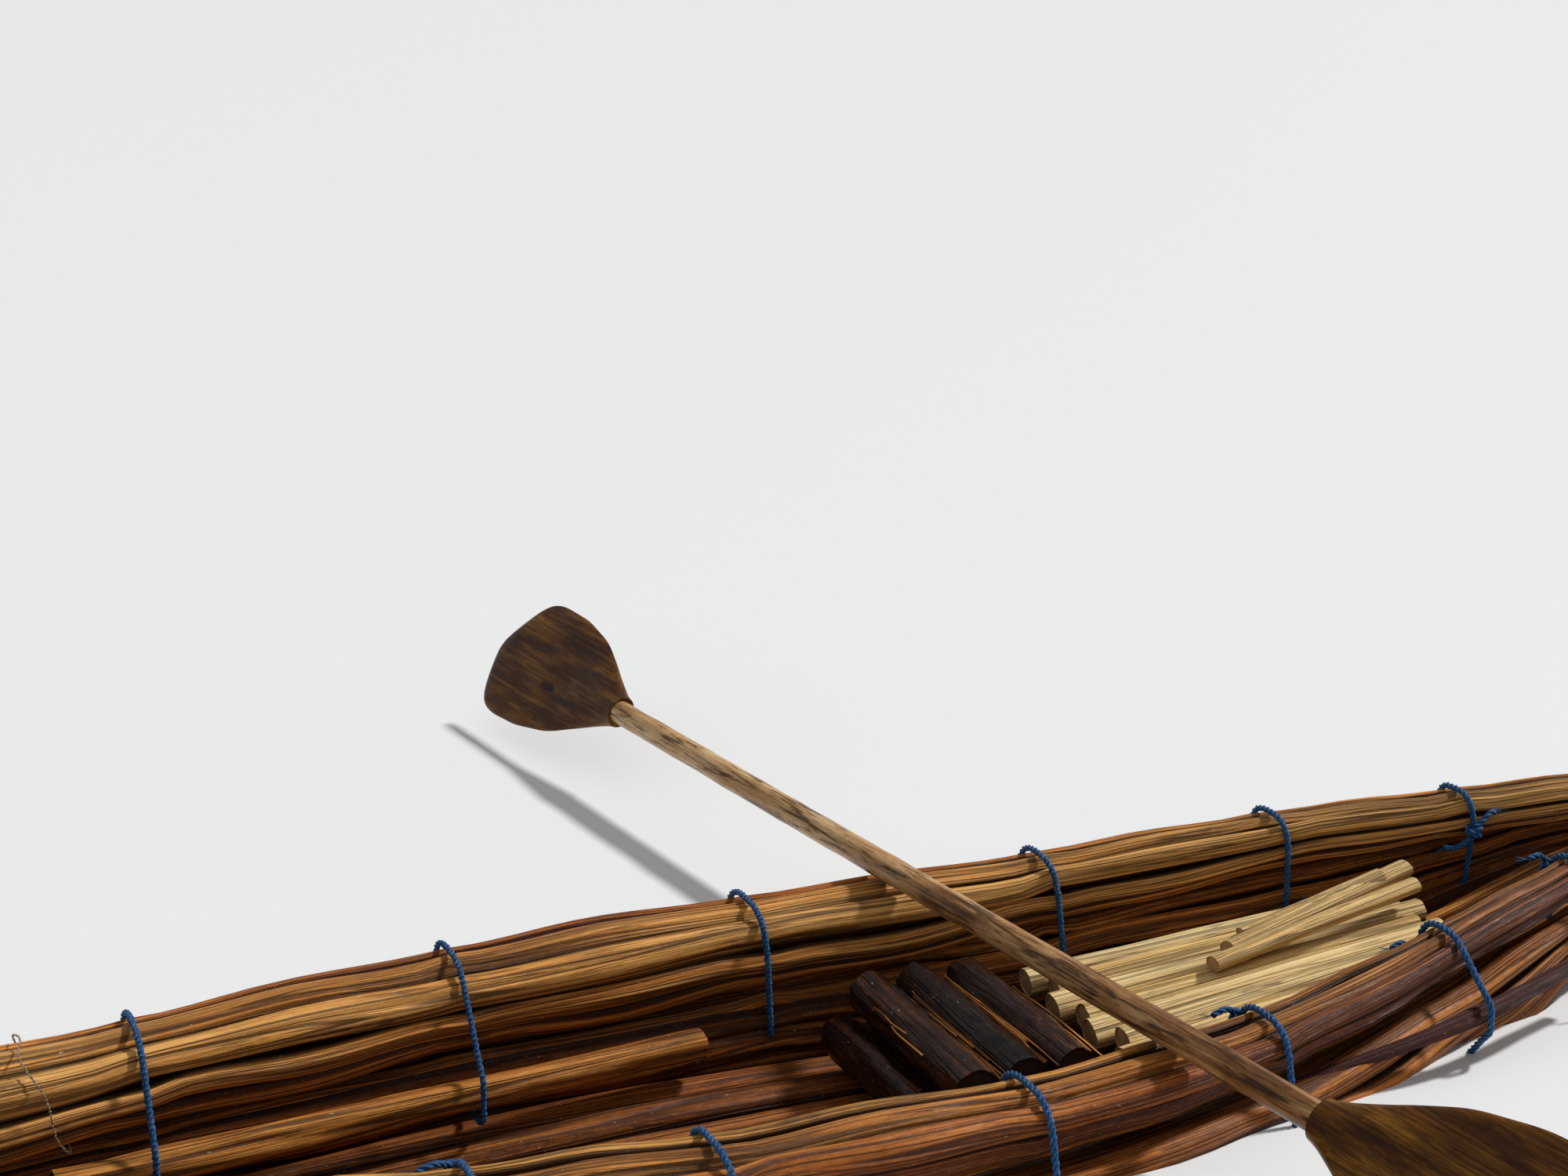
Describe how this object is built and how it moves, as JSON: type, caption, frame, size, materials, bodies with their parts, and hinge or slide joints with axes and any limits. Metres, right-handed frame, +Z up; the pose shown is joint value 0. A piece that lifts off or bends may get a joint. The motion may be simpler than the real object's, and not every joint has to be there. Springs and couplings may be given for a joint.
{
  "type": "papyrus reed boat with double paddle",
  "caption": "Narrow one-man papyrus reed boat: lashed reed bundles with raised gunwales, upturned ends, log seat, load deck and a double paddle across the gunwales.",
  "frame": {"origin": "on the centreline at the lowest level of the raft, 1.85 m from either tip", "axes": "+X forward to the bow, +Y to port, +Z up"},
  "size_m": [3.7, 2.3203, 0.607],
  "materials": {
    "reed": "wet satin, brown streaks",
    "cut_reed": "satin",
    "wet_reed": "wet gloss",
    "blue_twine": "twisted plastic twine",
    "sisal": "twisted fibre",
    "paddle_wood": "wet gloss",
    "blade_wood": "wet gloss"
  },
  "bodies": {
    "root": {"bow_binding": "blue_twine", "deck_bearers": "wet_reed", "deck_middle": "cut_reed", "deck_port": "cut_reed", "deck_starboard": "cut_reed", "paddle_port_blade": "blade_wood", "paddle_shaft": "paddle_wood", "paddle_starboard_blade": "blade_wood", "port_gunwale": "reed", "port_side": "reed", "port_side_stalk": "wet_reed", "port_ties": "blue_twine", "raft_centre": "reed", "raft_girths": "sisal", "raft_port": "reed", "raft_starboard": "reed", "seat_lower_logs": "wet_reed", "seat_upper_logs": "wet_reed", "starboard_gunwale": "reed", "starboard_inner_reed": "reed", "starboard_side": "reed", "starboard_ties": "blue_twine", "stern_binding": "blue_twine", "stern_fan": "reed"}
  },
  "joints": []
}
